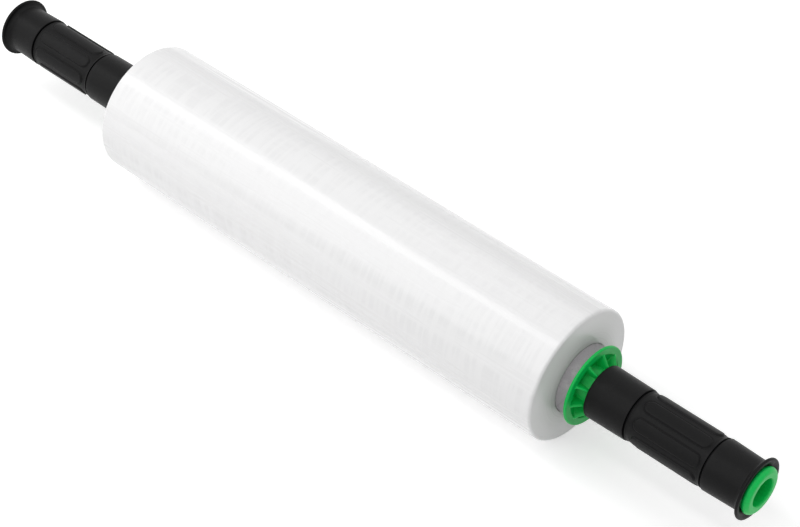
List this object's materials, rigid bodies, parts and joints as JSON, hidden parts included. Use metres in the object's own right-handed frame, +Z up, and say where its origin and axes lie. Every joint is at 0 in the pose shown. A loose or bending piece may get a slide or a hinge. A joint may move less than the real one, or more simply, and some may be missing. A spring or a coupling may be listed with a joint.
{
  "type": "stretch wrap roll",
  "caption": "Hand roll of clear stretch film on a cardboard core, with a freely turning rubber grip on a green plastic spindle at each end.",
  "frame": {"origin": "middle of the small flat spot that the wound film rests on, straight below the middle of the roll's axis", "axes": "+X along the roll's axis to the right-hand grip, +Z up"},
  "size_m": [0.7882, 0.11, 0.1095],
  "materials": {
    "stretch_film": "wound clear film, glossy with fine winding streaks",
    "core_board": "grey wound paperboard",
    "green_plastic": "moulded, semi-gloss",
    "black_rubber": "matte moulded rubber"
  },
  "bodies": {
    "roll": {"film_roll": "stretch_film", "core_tube": "core_board", "right_spindle": "green_plastic", "left_spindle": "green_plastic", "right_end_cap": "green_plastic", "left_end_cap": "green_plastic"},
    "right_grip": {"right_grip": "black_rubber"},
    "left_grip": {"left_grip": "black_rubber"}
  },
  "joints": [
    {"name": "right_grip_spin", "type": "hinge", "parent": "roll", "child": "right_grip", "pos_m": [0.318, 0, 0.05449], "axis": [1, 0, 0], "continuous": true},
    {"name": "left_grip_spin", "type": "hinge", "parent": "roll", "child": "left_grip", "pos_m": [-0.318, 0, 0.05449], "axis": [1, 0, 0], "continuous": true}
  ]
}
